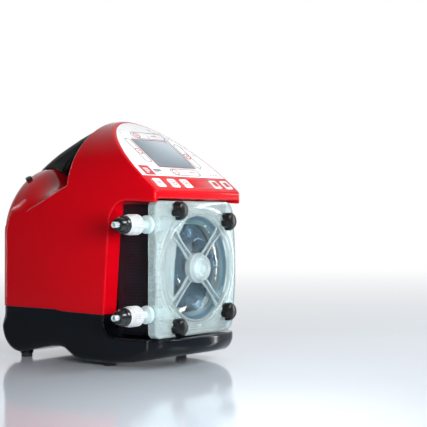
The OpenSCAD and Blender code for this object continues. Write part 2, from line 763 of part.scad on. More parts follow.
module nut() difference() {
    turned_x([[nut_x0, 0], [nut_x0, 12], [nut_x0 + 1.5, 12.8], [nut_x1 - 4, 12.8],
        [nut_x1, 11.4], [nut_x1, 0]]);
    turned_x([[nut_x0 - 1, 0], [nut_x0 - 1, 8.5], [thread_x1, 8.5], [thread_x1, 10.9],
        [nut_x1 - 4, 10.9], [nut_x1 - 4, 9.9], [nut_x1 + 1, 9.9], [nut_x1 + 1, 0]]);
    for (a = [0:15:345]) rotate([a, 0, 0]) translate([-nut_x1 + 5, 0, 13]) rotate([0, 90, 0])
        cylinder(r = 0.7, h = nut_x1 - nut_x0 - 7, $fn = 16);
}

module insert() difference() {
    turned_x([[thread_x1 + gap, 0], [thread_x1 + gap, 10.5], [nut_x1 - 4 - gap, 10.5],
        [nut_x1 - 4 - gap, 9.6], [130, 9.6], [insert_x1, 7.2], [insert_x1, 0]]);
    turned_x([[110, 0], [110, 3.4], [insert_x1 + 1, 3.4], [insert_x1 + 1, 0]]);
}

module spigot() difference() {
    turned_x([[thread_x1 + gap, 0], [thread_x1 + gap, 3.4], [insert_x1, 3.4], [insert_x1, spigot_r],
        [spigot_x1, spigot_r], [spigot_x1, 0]]);
    turned_x([[110, 0], [110, 2.2], [spigot_x1 + 1, 2.2], [spigot_x1 + 1, 0]]);
}

module outlet_adapter() color("#e9eef0") at_port(port_offset) adapter();
module inlet_adapter() color("#e9eef0") at_port(-port_offset) adapter();
module outlet_nut() color("white") at_port(port_offset) nut();
module inlet_nut() color("white") at_port(-port_offset) nut();
module outlet_insert() color("#15181a") at_port(port_offset) insert();
module inlet_insert() color("#15181a") at_port(-port_offset) insert();
module outlet_spigot() color("#b9c3c6") at_port(port_offset) spigot();
module inlet_spigot() color("#b9c3c6") at_port(-port_offset) spigot();

module leak_sensor() color("#d8d8d8") at_head() translate([10, 0, -75])
    disc_y(2.4, 10, block_y);

lower_enclosure();
upper_enclosure();
enclosure_gasket();
carry_handle();
case_screws();
feet();
panel_overlay();
display_module();
display_glass();
control_board();
key_menu();
key_down();
key_up();
key_stop();
key_start();
key_domes();
rear_plate();
rear_plate_screws();
signal_sockets();
socket_caps();
power_inlet();
power_rocker();
vent_plug();
power_supply();
head_flange();
head_block();
gearbox_plate();
head_screws();
raceway();
threaded_inserts();
shaft_bearings();
motor();
motor_shaft();
drive_shaft();
drive_gear();
rotor_carrier();
roller_axles();
roller_1();
roller_2();
roller_3();
roller_4();
pump_tube();
head_cover();
cover_window();
cover_bearing();
cover_seal();
knob_1();
knob_2();
knob_3();
knob_4();
outlet_adapter();
inlet_adapter();
outlet_nut();
inlet_nut();
outlet_insert();
inlet_insert();
outlet_spigot();
inlet_spigot();
leak_sensor();
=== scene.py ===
"""Looks of the peristaltic pump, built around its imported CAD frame.

Helper functions take millimetres in the front frame: x across, y back from the hood's
front face, z up from the floor. Meshes are stored in metres in the row frame.
"""
import json
import math

import bmesh
import bpy
import numpy as np
import openvdb as vdb
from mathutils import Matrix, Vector


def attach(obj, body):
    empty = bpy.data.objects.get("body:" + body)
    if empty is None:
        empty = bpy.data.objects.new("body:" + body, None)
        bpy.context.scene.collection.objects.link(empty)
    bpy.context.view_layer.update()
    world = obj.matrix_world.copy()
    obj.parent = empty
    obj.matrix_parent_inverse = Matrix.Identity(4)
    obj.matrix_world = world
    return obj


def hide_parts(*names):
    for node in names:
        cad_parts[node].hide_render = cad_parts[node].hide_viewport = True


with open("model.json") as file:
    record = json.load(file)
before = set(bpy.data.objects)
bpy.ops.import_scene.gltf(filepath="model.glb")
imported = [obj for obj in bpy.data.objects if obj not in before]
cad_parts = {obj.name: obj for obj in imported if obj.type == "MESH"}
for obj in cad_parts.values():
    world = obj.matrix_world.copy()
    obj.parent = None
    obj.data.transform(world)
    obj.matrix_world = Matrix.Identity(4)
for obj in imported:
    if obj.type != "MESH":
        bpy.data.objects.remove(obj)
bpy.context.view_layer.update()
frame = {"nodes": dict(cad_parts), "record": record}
NODES = frame["nodes"]
SLOT_OF = {s["node"]: s["material_slot"] for s in frame["record"]["subparts"]}

FRONT = 169.0   # distance of the origin behind the hood's front face
HEAD_Z = 125.5  # height of the rotor's axis
PORTS = (56.0, -56.0)  # heights of the two ports about that axis
TILT = math.radians(38)  # slope of the control panel
PANEL_Y, PANEL_Z = 1.5, 225  # foot of the panel
SCREEN = (4, 81)  # centre of the display on the panel
KEY_X = {"key_menu": -66.5, "key_down": -38.5, "key_up": -13, "key_stop": 48, "key_start": 72}
KEY_S = 14.5  # how far up the panel the keys lie

# ------------------------------------------------------------------ materials


def link(tree, a, b):
    tree.links.new(a, b)


def node_of(tree, kind, **settings):
    made = tree.nodes.new(kind)
    for key, value in settings.items():
        if key in made.inputs:
            made.inputs[key].default_value = value
        else:
            setattr(made, key, value)
    return made


def noise(tree, scale, detail=3.0, rough=0.55, stretch=None):
    coords = node_of(tree, "ShaderNodeTexCoord")
    made = node_of(tree, "ShaderNodeTexNoise", Scale=scale, Detail=detail, Roughness=rough)
    source = coords.outputs["Object"]
    if stretch:
        mapping = node_of(tree, "ShaderNodeMapping")
        mapping.inputs["Scale"].default_value = stretch
        link(tree, source, mapping.inputs["Vector"])
        source = mapping.outputs["Vector"]
    link(tree, source, made.inputs["Vector"])
    return made.outputs["Fac"]


def ramp(tree, source, low, high, from_low=0.35, from_high=0.65):
    made = node_of(tree, "ShaderNodeMapRange")
    made.inputs["From Min"].default_value = from_low
    made.inputs["From Max"].default_value = from_high
    made.inputs["To Min"].default_value = low
    made.inputs["To Max"].default_value = high
    link(tree, source, made.inputs["Value"])
    return made.outputs["Result"]


def mix(tree, factor, a, b):
    made = node_of(tree, "ShaderNodeMix", data_type="RGBA")
    for socket, value in ((made.inputs[0], factor), (made.inputs[6], a), (made.inputs[7], b)):
        if isinstance(value, bpy.types.NodeSocket):
            link(tree, value, socket)
        elif isinstance(value, (int, float)):
            socket.default_value = value
        else:
            socket.default_value = (*value[:3], 1)
    return made.outputs[2]


def combine(tree, operation, a, b):
    made = node_of(tree, "ShaderNodeMath", operation=operation)
    link(tree, a, made.inputs[0])
    link(tree, b, made.inputs[1])
    return made.outputs[0]


def shade(color, k):
    return tuple(min(1.0, c * k) for c in color[:3])


GLOSS_SCALE, SCRATCH_SCALE, WEAR_SCALE, DUST_SCALE = 90, 700, 160, 55
WORN_EDGE = (0.515, 0.56)  # Pointiness where wear begins and is full
DUST = (0.55, 0.54, 0.52)
BUMP_DEPTH = 0.0002


def scratched(tree, gloss, amount):
    lines = noise(tree, SCRATCH_SCALE, 2.0, 0.6, stretch=(1, 0.06, 0.25))
    return combine(tree, "ADD", gloss, ramp(tree, lines, 0, amount, 0.6, 0.72))


def worn(tree, base, color):
    """A paler colour in patches along the sharp edges."""
    geometry = node_of(tree, "ShaderNodeNewGeometry")
    edge = ramp(tree, geometry.outputs["Pointiness"], 0, 1, *WORN_EDGE)
    patch = ramp(tree, noise(tree, WEAR_SCALE, 4.0), 0.0, 1.0, 0.42, 0.6)
    return mix(tree, combine(tree, "MULTIPLY", edge, patch), base, color)


def dusty(tree, base, amount):
    """A thin cloudy layer of dust on whatever faces up."""
    geometry = node_of(tree, "ShaderNodeNewGeometry")
    split = node_of(tree, "ShaderNodeSeparateXYZ")
    link(tree, geometry.outputs["Normal"], split.inputs[0])
    up = ramp(tree, split.outputs["Z"], 0, amount, 0.3, 1.0)
    cloud = ramp(tree, noise(tree, DUST_SCALE, 5.0), 0.0, 1.0, 0.4, 0.7)
    return mix(tree, combine(tree, "MULTIPLY", up, cloud), base, DUST)


def material(name, color, rough, spread=0.06, mottle=(30, 0.08), grain=(2600, 0.05), fixed=None,
             stretch=None, wear=None, scratch=0.0, dust=0.0):
    """A moulded or machined surface: mottled colour, uneven gloss, fine grain, worn edges."""
    made = bpy.data.materials.new(name)
    made.use_nodes = True
    tree = made.node_tree
    bsdf = tree.nodes["Principled BSDF"]
    for key, value in (fixed or {}).items():
        bsdf.inputs[key].default_value = value
    scale, amount = mottle
    patches = ramp(tree, noise(tree, scale), 0, 1)
    base = mix(tree, patches, shade(color, 1 - amount), shade(color, 1 + amount))
    gloss = ramp(tree, noise(tree, GLOSS_SCALE, 4.0), rough - spread, rough + spread)
    if scratch:
        gloss = scratched(tree, gloss, scratch)
    if wear:
        base = worn(tree, base, wear)
    if dust:
        base = dusty(tree, base, dust)
    link(tree, base, bsdf.inputs["Base Color"])
    link(tree, gloss, bsdf.inputs["Roughness"])
    bump = node_of(tree, "ShaderNodeBump", Strength=grain[1], Distance=BUMP_DEPTH)
    link(tree, noise(tree, grain[0], 2.0, 0.5, stretch), bump.inputs["Height"])
    link(tree, bump.outputs["Normal"], bsdf.inputs["Normal"])
    return made


GLOSS = {"Coat Weight": 0.12, "Coat Roughness": 0.04, "IOR": 1.3}
MATERIALS = {
    "red_shell": material("red_shell", (0.56, 0.0005, 0.006), 0.13, 0.02, (9, 0.025), (1500, 0.008), GLOSS),
    "base_black": material("base_black", (0.003, 0.0045, 0.007), 0.12, 0.02, (20, 0.15), (1800, 0.012),
                           {"IOR": 1.33}, wear=(0.02, 0.022, 0.026), dust=0.006),
    "handle_black": material("handle_black", (0.004, 0.0045, 0.006), 0.34, 0.06, (24, 0.2), (1300, 0.12),
                             {"IOR": 1.4}, wear=(0.02, 0.022, 0.025), dust=0.008),
    "seal_rubber": material("seal_rubber", (0.02, 0.02, 0.021), 0.7, 0.08, (60, 0.2), (900, 0.3)),
    "foot_rubber": material("foot_rubber", (0.022, 0.022, 0.023), 0.75, 0.08, (60, 0.25), (700, 0.4)),
    "screw_steel": material("screw_steel", (0.55, 0.56, 0.58), 0.28, 0.06, (80, 0.08), (900, 0.1),
                            {"Metallic": 1.0}, (1, 12, 1), scratch=0.2),
    "film_white": material("film_white", (0.86, 0.865, 0.875), 0.3, 0.04, (18, 0.015), (2200, 0.04)),
    "display_dark": material("display_dark", (0.03, 0.035, 0.045), 0.35, 0.05),
    "board_green": material("board_green", (0.02, 0.12, 0.045), 0.45, 0.08, (180, 0.3), (600, 0.3)),
    "key_white": material("key_white", (0.83, 0.835, 0.82), 0.38, 0.05, (45, 0.03), (1700, 0.08)),
    "rear_black": material("rear_black", (0.018, 0.018, 0.02), 0.5, 0.05, (35, 0.1), (1100, 0.3),
                           dust=0.02),
    "socket_metal": material("socket_metal", (0.24, 0.25, 0.27), 0.35, 0.08, (90, 0.1), (900, 0.15),
                             {"Metallic": 1.0}, (1, 10, 1)),
    "cap_black": material("cap_black", (0.014, 0.014, 0.015), 0.45, 0.06, (40, 0.2), (1200, 0.3)),
    "rocker_red": material("rocker_red", (0.4, 0.008, 0.012), 0.22, 0.03, (40, 0.06), (1900, 0.05), GLOSS),
    "head_black": material("head_black", (0.008, 0.009, 0.013), 0.4, 0.06, (28, 0.2), (1500, 0.1),
                           {"IOR": 1.4}),
    "motor_dark": material("motor_dark", (0.045, 0.048, 0.054), 0.4, 0.07, (40, 0.2), (900, 0.2),
                           {"Metallic": 0.6}),
    "shaft_steel": material("shaft_steel", (0.6, 0.61, 0.63), 0.22, 0.05, (60, 0.06), (1400, 0.1),
                            {"Metallic": 1.0}, (1, 25, 1), scratch=0.2),
    "gear_brass": material("gear_brass", (0.62, 0.43, 0.13), 0.3, 0.06, (60, 0.1), (1000, 0.12),
                           {"Metallic": 1.0}),
    "rotor_grey": material("rotor_grey", (0.085, 0.14, 0.18), 0.4, 0.06, (30, 0.15), (1300, 0.15)),
    "roller_grey": material("roller_grey", (0.16, 0.22, 0.26), 0.3, 0.05, (50, 0.1), (1500, 0.08)),
    "raceway_clear": material("raceway_clear", (0.30, 0.40, 0.46), 0.35, 0.06, (40, 0.06), (1500, 0.08)),
    "tube_cream": material("tube_cream", (0.62, 0.6, 0.5), 0.45, 0.06, (50, 0.08), (1200, 0.1),
                           {"Subsurface Weight": 0.15, "Subsurface Scale": 0.003}),
    "cover_frost": material("cover_frost", (0.80, 0.955, 0.98), 0.14, 0.03, (42, 0.06), (900, 0.02),
                            {"Transmission Weight": 0.74, "IOR": 1.45}),
    "window_clear": material("window_clear", (0.50, 0.68, 0.78), 0.06, 0.03, (30, 0.03), (500, 0.01),
                             {"Transmission Weight": 0.96, "IOR": 1.45}),
    "knob_black": material("knob_black", (0.005, 0.0055, 0.006), 0.3, 0.03, (50, 0.2), (2000, 0.02),
                           {"Coat Weight": 0.15, "Coat Roughness": 0.08, "IOR": 1.36},
                           wear=(0.012, 0.014, 0.015)),
    "adapter_white": material("adapter_white", (0.44, 0.54, 0.56), 0.34, 0.05, (50, 0.03), (1400, 0.08),
                              {"Subsurface Weight": 0.2, "Subsurface Scale": 0.002}),
    "nut_white": material("nut_white", (0.40, 0.43, 0.44), 0.42, 0.06, (60, 0.03), (1200, 0.14),
                          {"Subsurface Weight": 0.15, "Subsurface Scale": 0.002}, wear=(0.55, 0.56, 0.57)),
    "insert_black": material("insert_black", (0.009, 0.011, 0.012), 0.2, 0.04, (60, 0.2), (1600, 0.06),
                             {"Coat Weight": 0.3, "Coat Roughness": 0.1}),
    "spigot_grey": material("spigot_grey", (0.42, 0.47, 0.48), 0.25, 0.04, (60, 0.05), (1500, 0.06)),
}
WEB_CLEAR = material("web_clear", (0.78, 0.90, 0.95), 0.16, 0.04, (40, 0.04), (900, 0.02),
                     {"Transmission Weight": 0.93, "IOR": 1.45})
HUB_CLEAR = material("hub_clear", (0.80, 0.95, 0.98), 0.17, 0.02, (42, 0.05), (900, 0.02),
                     {"Transmission Weight": 0.66, "IOR": 1.45})
PRINT = {
    "red": material("print_red", (0.50, 0.006, 0.015), 0.36, 0.04, (60, 0.06), (2200, 0.05)),
    "grey": material("print_grey", (0.13, 0.14, 0.16), 0.38, 0.04, (60, 0.05), (2200, 0.05)),
    "dark": material("print_dark", (0.03, 0.03, 0.035), 0.38, 0.04, (60, 0.1), (2200, 0.05)),
}


SCREEN_X, SCREEN_Z = (-0.033, 0.041), (0.256, 0.295)  # the display's extent, in metres
DIM_SLATE, PALE_SLATE = (0.085, 0.135, 0.17), (0.42, 0.5, 0.55)


def glass_material():
    """A dim liquid-crystal screen: slate blue, paler towards its upper right, with faint cells."""
    made = material("display_glass_lit", (0.2, 0.28, 0.34), 0.14, 0.03, (60, 0.03), (3000, 0.02),
                    {"Coat Weight": 0.6, "Coat Roughness": 0.04})
    tree = made.node_tree
    coords = node_of(tree, "ShaderNodeTexCoord")
    split = node_of(tree, "ShaderNodeSeparateXYZ")
    link(tree, coords.outputs["Object"], split.inputs[0])
    up = ramp(tree, split.outputs["Z"], 0, 1, *SCREEN_Z)
    side = ramp(tree, split.outputs["X"], 0, 1, *SCREEN_X)
    wobble = node_of(tree, "ShaderNodeMath", operation="MULTIPLY_ADD")
    link(tree, noise(tree, 25, 2.0), wobble.inputs[0])
    wobble.inputs[1].default_value = 0.16
    link(tree, combine(tree, "MULTIPLY", up, side), wobble.inputs[2])
    base = mix(tree, ramp(tree, wobble.outputs[0], 0, 1, 0.05, 0.75), DIM_SLATE, PALE_SLATE)
    link(tree, base, tree.nodes["Principled BSDF"].inputs["Base Color"])
    return made


MATERIALS["display_glass"] = glass_material()

# ------------------------------------------------------------------ building

SHARP = 35  # degrees between two faces beyond which their edge shades as a crease
WELD_DISTANCE = 1e-6  # metres


def from_mm(points):
    """Front frame in millimetres to row frame in metres."""
    p = np.array(points, float)
    p[:, 1] -= FRONT
    return p / 1000


def add_mesh(name, points, faces, sharp=40.0):
    """A mesh object from points in millimetres; faces are lists of point numbers."""
    mesh = bpy.data.meshes.new(name)
    mesh.from_pydata(from_mm(points).tolist(), [], [list(map(int, f)) for f in faces])
    mesh.validate()
    made = bpy.data.objects.new(name, mesh)
    bpy.context.scene.collection.objects.link(made)
    smooth(made, sharp)
    return made


def smooth(obj, sharp=40.0):
    """Smooth shading, with creases at edges sharper than the angle given."""
    mesh = obj.data
    mesh.polygons.foreach_set("use_smooth", [True] * len(mesh.polygons))
    mesh.set_sharp_from_angle(angle=math.radians(sharp))
    mesh.update()


def settle(obj):
    """Applies the modifiers of a new piece."""
    bpy.context.view_layer.update()
    graph = bpy.context.evaluated_depsgraph_get()
    mesh = bpy.data.meshes.new_from_object(obj.evaluated_get(graph))
    obj.modifiers.clear()
    obj.data = mesh
    mesh.name = obj.name


def piece(obj, slot, body="pump_case", stands_for=(), paint=None):
    """Paints a piece, puts it on its body and hides the CAD nodes it stands for."""
    obj.data.materials.clear()
    obj.data.materials.append(paint or MATERIALS[slot])
    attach(obj, body)
    if stands_for:
        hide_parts(*stands_for)
    return obj


def cut(obj, cutters, operation="DIFFERENCE"):
    """Subtracts the cutters from a piece, or adds them to it, and removes them."""
    for c in cutters:
        m = obj.modifiers.new("cut", "BOOLEAN")
        m.operation = operation
        m.object = c
        m.solver = "MANIFOLD"
    settle(obj)
    for c in cutters:
        bpy.data.objects.remove(c)
    return obj


# Rounded intersection and rounded union of two distance fields


def rmax(a, b, r):
    return np.minimum(np.maximum(a, b), -r) + np.sqrt(np.maximum(a + r, 0) ** 2 + np.maximum(b + r, 0) ** 2)


def rmin(a, b, r):
    return -rmax(-a, -b, r)


def ease(t):
    """A smooth step from 0 to 1."""
    t = np.clip(t, 0, 1)
    return t * t * (3 - 2 * t)


def arch(x, z, half, spring, rise):
    """Distance to a section with straight sides that closes in half an ellipse above spring."""
    up = np.maximum(z - spring, 0)
    k = np.sqrt((x / half) ** 2 + (up / rise) ** 2)
    # The two lower limits keep the distance finite near the middle of the section
    slope = np.sqrt((x / half ** 2) ** 2 + (up / rise ** 2) ** 2) / np.maximum(k, 0.05)
    return (k - 1) / np.maximum(slope, 0.011)


def segment_field(a, b, outline):
    """Signed distance in a plane to a closed outline of points."""
    p = np.array(outline, float)
    q = np.roll(p, -1, axis=0)
    best, inside = 1e9, 0
    for (x0, y0), (x1, y1) in zip(p, q):
        dx, dy = x1 - x0, y1 - y0
        t = np.clip(((a - x0) * dx + (b - y0) * dy) / (dx * dx + dy * dy), 0, 1)
        best = np.minimum(best, (a - x0 - t * dx) ** 2 + (b - y0 - t * dy) ** 2)
        crosses = (y0 > b) != (y1 > b)
        at = x0 + (b - y0) * dx / (dy if dy else 1e-9)
        inside = inside ^ (crosses & (a < at))
    return np.where(inside, -1, 1) * np.sqrt(best)


def field_mesh(name, field, lo, hi, h, sharp=50.0):
    """The surface field(x, y, z) = 0 as quads, with its points moved onto the exact surface."""
    lo = np.array(lo, float)
    n = [int(math.ceil((b - a) / h)) + 1 for a, b in zip(lo, hi)]
    x, y, z = (lo[k] + h * np.arange(n[k]) for k in range(3))
    values = field(x[:, None, None], y[None, :, None], z[None, None, :])
    values = np.clip(np.broadcast_to(values, n), -3 * h, 3 * h).astype(np.float32)
    grid = vdb.FloatGrid()
    grid.background = 3 * h
    grid.copyFromArray(np.ascontiguousarray(values))
    points, quads = grid.convertToQuads(isovalue=0)
    points = points.astype(float) * h + lo
    e = 0.02  # half the span over which the slope is measured
    for _ in range(2):
        px, py, pz = points.T
        d = field(px, py, pz)
        g = np.stack([field(px + e, py, pz) - field(px - e, py, pz),
                      field(px, py + e, pz) - field(px, py - e, pz),
                      field(px, py, pz + e) - field(px, py, pz - e)], axis=1) / (2 * e)
        step = g * (d / np.maximum((g ** 2).sum(1), 0.2))[:, None]
        size = np.linalg.norm(step, axis=1)  # a point moves less than half a cell at a time
        points -= step * np.minimum(1, 0.45 * h / np.maximum(size, 1e-9))[:, None]
    a, b, c, d = (points[quads[:, k]] for k in range(4))
    volume = np.einsum("ij,ij->i", a, np.cross(b, c) + np.cross(c, d)).sum()
    if volume < 0:
        quads = quads[:, ::-1]
    return add_mesh(name, points, quads, sharp)


def outward(obj):
    """Turns a closed piece's faces outwards."""
    b = bmesh.new()
    b.from_mesh(obj.data)
    if b.calc_volume(signed=True) < 0:
        bmesh.ops.reverse_faces(b, faces=b.faces)
        b.to_mesh(obj.data)
    b.free()
    return obj


def box(x0, x1, y0, y1, z0, z1):
    corners = [(x, y, z) for x in (x0, x1) for y in (y0, y1) for z in (z0, z1)]
    faces = [(0, 1, 3, 2), (4, 6, 7, 5), (0, 4, 5, 1), (2, 3, 7, 6), (0, 2, 6, 4), (1, 5, 7, 3)]
    return outward(add_mesh("cutter", corners, faces))


def prism(outline, place, t0, t1):
    """A straight prism: outline in a plane, place(u, v, t) gives points in millimetres."""
    n = len(outline)
    points = [place(u, v, t) for t in (t0, t1) for u, v in outline]
    faces = [list(range(n))[::-1], [n + i for i in range(n)]]
    faces += [(i, (i + 1) % n, n + (i + 1) % n, n + i) for i in range(n)]
    return outward(add_mesh("cutter", points, faces))


def on_x(u, v, t):
    return (t, u, v)


def on_y(u, v, t):
    return (u, t, v)


def on_z(u, v, t):
    return (u, v, t)


def on_head(u, v, t):
    return (u, t, HEAD_Z + v)


def on_panel(u, s, t):
    """Across, up the slope and out of the control panel."""
    y = PANEL_Y + s * math.cos(TILT) - t * math.sin(TILT)
    return (u, y, PANEL_Z + s * math.sin(TILT) + t * math.cos(TILT))


def over_panel(y, z):
    """Distance out of the panel's plane."""
    return (z - PANEL_Z) * math.cos(TILT) - (y - PANEL_Y) * math.sin(TILT)


def round_rect(w, h, r, cx=0.0, cy=0.0, n=6):
    out = []
    for kx, ky, a0 in ((1, 1, 0), (-1, 1, 90), (-1, -1, 180), (1, -1, 270)):
        for i in range(n + 1):
            a = math.radians(a0 + 90 * i / n)
            out.append((cx + kx * (w / 2 - r) + r * math.cos(a), cy + ky * (h / 2 - r) + r * math.sin(a)))
    return out


def circle(r, cx=0.0, cy=0.0, n=40):
    turns = [2 * math.pi * i / n for i in range(n)]
    return [(cx + r * math.cos(a), cy + r * math.sin(a)) for a in turns]


def plate(name, loops, place, t0, t1, bevel=0.0):
    """A flat plate with holes: loops of plane points, thickness from t0 to t1, rounded edges."""
    curve = bpy.data.curves.new(name, "CURVE")
    curve.dimensions = "2D"
    curve.fill_mode = "BOTH"
    curve.extrude = (t1 - t0) / 2 - bevel
    curve.bevel_depth = bevel
    curve.offset = -bevel
    curve.bevel_resolution = 1
    for loop in loops:
        spline = curve.splines.new("POLY")
        spline.points.add(len(loop) - 1)
        for p, (u, v) in zip(spline.points, loop):
            p.co = (u, v, 0, 1)
        spline.use_cyclic_u = True
    holder = bpy.data.objects.new(name + "_curve", curve)
    bpy.context.scene.collection.objects.link(holder)
    bpy.context.view_layer.update()
    mesh = bpy.data.meshes.new_from_object(holder.evaluated_get(bpy.context.evaluated_depsgraph_get()))
    mid = (t0 + t1) / 2
    points = np.array([place(v.co.x, v.co.y, v.co.z + mid) for v in mesh.vertices])
    faces = [list(p.vertices) for p in mesh.polygons]
    bpy.data.objects.remove(holder)
    bpy.data.curves.remove(curve)
    made = add_mesh(name, points, faces)
    weld(made)
    return made


def weld(obj):
    """Joins the points that coincide and turns every face outwards."""
    b = bmesh.new()
    b.from_mesh(obj.data)
    bmesh.ops.remove_doubles(b, verts=b.verts, dist=WELD_DISTANCE)
    bmesh.ops.recalc_face_normals(b, faces=b.faces)
    b.to_mesh(obj.data)
    b.free()
    smooth(obj, SHARP)


def turned(name, profile, place, n=64):
    """A turned shape from (radius, t) pairs: solid if they start on the axis, a ring if not."""
    points, faces, rings = [], [], []
    for r, t in profile:
        if r <= 0:
            rings.append([len(points)])
            points.append(place(0, 0, t))
        else:
            rings.append(list(range(len(points), len(points) + n)))
            points += [place(u, v, t) for u, v in circle(r, n=n)]
    closed = profile[0][0] > 0
    pairs = list(zip(rings, rings[1:])) + ([(rings[-1], rings[0])] if closed else [])
    for a, b in pairs:
        for i in range(n):
            j = (i + 1) % n
            if len(a) == 1:
                faces.append((a[0], b[j], b[i]))
            elif len(b) == 1:
                faces.append((a[i], a[j], b[0]))
            else:
                faces.append((a[i], a[j], b[j], b[i]))
    made = add_mesh(name, points, faces)
    weld(made)
    return made


# ------------------------------------------------------------------ case

HALF, LENGTH, CROWN = 88.5, 281.5, 321.0  # half width, depth and top of the case
SPRING = 237.0  # where the hood's sides turn into its dome
HOOD_END, REAR_SPRING = 155, 233  # where the rear slope begins, and the height of its shoulders
RECESS_FLOOR = 38.5
WALL = 3.0
SEAM_GAP = 0.5
# The seam between the two halves, in side view
SEAM = [(-60.0, 65.5), (80.0, 65.5), (162.0, 67.0), (175.0, 69.0), (345.0, 69.0)]


def hood_field(x, y, z):
    """The domed front part, cut by the control panel and by the plane behind it."""
    body = arch(np.abs(x), z, HALF, SPRING, CROWN - SPRING)
    body = rmax(body, -y, 5)
    body = rmax(body, over_panel(y, z), 2.5)
    rear = (y - HOOD_END + 0.19 * (z - REAR_SPRING)) / 1.018
    return rmax(body, rear, 3.0)


def rear_field(x, y, z):
    """The lower rear part, whose top falls away behind the hood and lifts again at the end."""
    spring = REAR_SPRING - 0.435 * np.maximum(0, y - HOOD_END)
    top = 238 + 24 * ease((y - 195) / 55)
    ledge = 5.5 * (1 - ease((y - 165) / 80))
    body = 0.96 * arch(np.abs(x), z, HALF - ledge, spring - 4, top - spring + 4)
    wall = rmax(np.abs(x) - HALF, 0.917 * (z - spring), 2.2)
    body = np.maximum(rmin(body, wall, 0.02 + 0.18 * ledge), 110 - y)
    return rmax(body, y - LENGTH, 14 + 10 * ease((z - 165) / 70))


def case_field(x, y, z):
    blend = 0.02 + 2.5 * ease((HALF - 0.4 - np.abs(x)) / 7)
    return rmin(hood_field(x, y, z), rear_field(x, y, z), blend)


def recess_field(y, z):
    """Side view of the opening round the pump head."""
    bottom = RECESS_FLOOR - z
    top = (z - 206.6) * 0.99904 - (y + 60) * 0.04382
    back = (y - 89.6 + 0.0735 * (z - RECESS_FLOOR)) / 1.0027
    return rmax(rmax(bottom, back, 20), top, 29)


def upper_field(x, y, z):
    outer = case_field(x, y, z)
    outer = rmax(outer, -recess_field(y, z), 2.2)
    pocket = rmax(rmax(np.abs(x) - 83.5, y - 75, 2), z - 214, 2)
    pocket = np.maximum(pocket, -y - 30)
    return rmax(outer, -pocket, 1.6)


BOW_Y, BOW_R = 221, 234  # centre and radius of the bowed front edge, in plan
BELLY_Y = [-20, 0, 40, 76, 90, 129, 140, 150.85, 160, 170, 185, 200, 235, 247, 300]
BELLY_Z = [19, 16, 8.6, 5.2, 5, 5, 6.8, 12.95, 18.5, 20.5, 19.6, 17, 9.4, 7.3, 7.3]


def base_field(x, y, z):
    """The black base, solid: bowed in plan, with the underside's own profile."""
    bow = np.sqrt(x ** 2 + (y - BOW_Y) ** 2) - BOW_R
    side = rmax(np.where(y < BOW_Y, bow, -50), np.abs(x) - HALF, 30)
    under = np.interp(y, BELLY_Y, BELLY_Z)
    tail = rmax(0.96 * (under - z), y - LENGTH, 34.5)
    chin = (4 + 6 * ease((np.abs(x) - 20) / 50)) * ease((55 - y) / 60) * ease((45 - z) / 20)
    corner = 6 + 8 * ease((z - 40) / 20) + chin
    return rmax(side, tail, corner)


def lower_field(x, y, z):
    return rmax(base_field(x, y, z), -recess_field(y, z), 2.2)


def seam_cutter(above, shift):
    """Everything on one side of the seam, as a prism across the case."""
    line = [(y, z + shift) for y, z in SEAM]
    far = 700.0 if above else -300.0
    outline = line + [(345.0, far), (-60.0, far)]
    return prism(outline, on_x, -200, 200)


# Cell sizes of the field meshes in millimetres; COARSE serves for the hidden inside
FINE = 1.25
GRIP_CELL = 1.0
KNOB_CELL = 0.55
COARSE = 5.0


def shell(name, field, lo, hi, inner):
    """A field's surface, hollowed out by another field."""
    made = field_mesh(name, field, lo, hi, FINE)
    hollow = field_mesh("cutter", inner, lo, hi, COARSE)
    return cut(made, [hollow])


def upper_inner(x, y, z):
    inner = rmax(case_field(x, y, z) + WALL, WALL - recess_field(y, z), 2)
    inner = np.maximum(inner, over_panel(y, z) + WALL)
    ceiling = np.maximum(y - 80, z - 218)
    inner = np.maximum(inner, -ceiling)
    return np.maximum(inner, 40 - z)


def lower_inner(x, y, z):
    inner = rmax(base_field(x, y, z) + WALL, WALL - recess_field(y, z), 2)
    return np.maximum(inner, z - 90)


upper = shell("case_upper", lambda x, y, z: np.maximum(upper_field(x, y, z), 45 - z),
              (-94, -6, 38), (94, 288, 327), upper_inner)
# The seam, the head's opening, the rear plate's rebate and opening, the display and the keys
cut(upper, [seam_cutter(False, SEAM_GAP), box(-64.8, 64.8, 60, 100, 50, 207.3),
            prism(round_rect(140.6, 120.6, 6.3, 0, 148), on_y, LENGTH - 2.2, LENGTH + 5),
            box(-62, 62, LENGTH - 10, LENGTH + 1, 96, 200),
            prism(round_rect(78, 64, 2.5, *SCREEN), on_panel, -10, 10)])
cut(upper, [prism(round_rect(16.4, 18.4, 2.8, x, KEY_S), on_panel, -10, 10) for x in KEY_X.values()])
smooth(upper, 50)
piece(upper, "red_shell", stands_for=["upper_enclosure"])

lower = shell("case_lower", lambda x, y, z: np.maximum(lower_field(x, y, z), z - 85),
              (-94, -18, 0), (94, 288, 90), lower_inner)
cut(lower, [seam_cutter(True, -SEAM_GAP), box(-64.8, 64.8, 20, 88, 40.2, 100)])
# Pads that the feet are fixed to
pads = [prism(circle(9, x, y), on_z, 5, 12) for x in (-72, 72) for y in (91, 247)]
cut(lower, pads, "UNION")
smooth(lower, SHARP)
piece(lower, "base_black", stands_for=["lower_enclosure"])

# ------------------------------------------------------------------ handle

# Side view of the handle
GRIP = [(130, 318.6), (150, 317.4), (171, 312), (201, 300.6), (231, 287.4), (246, 280.2), (258, 273.6),
        (268, 267.6), (277, 259), (279, 225), (236, 225), (222, 240), (222, 256), (220, 262), (216, 267),
        (200, 275), (175, 286), (150, 290), (120, 291), (120, 318.6)]


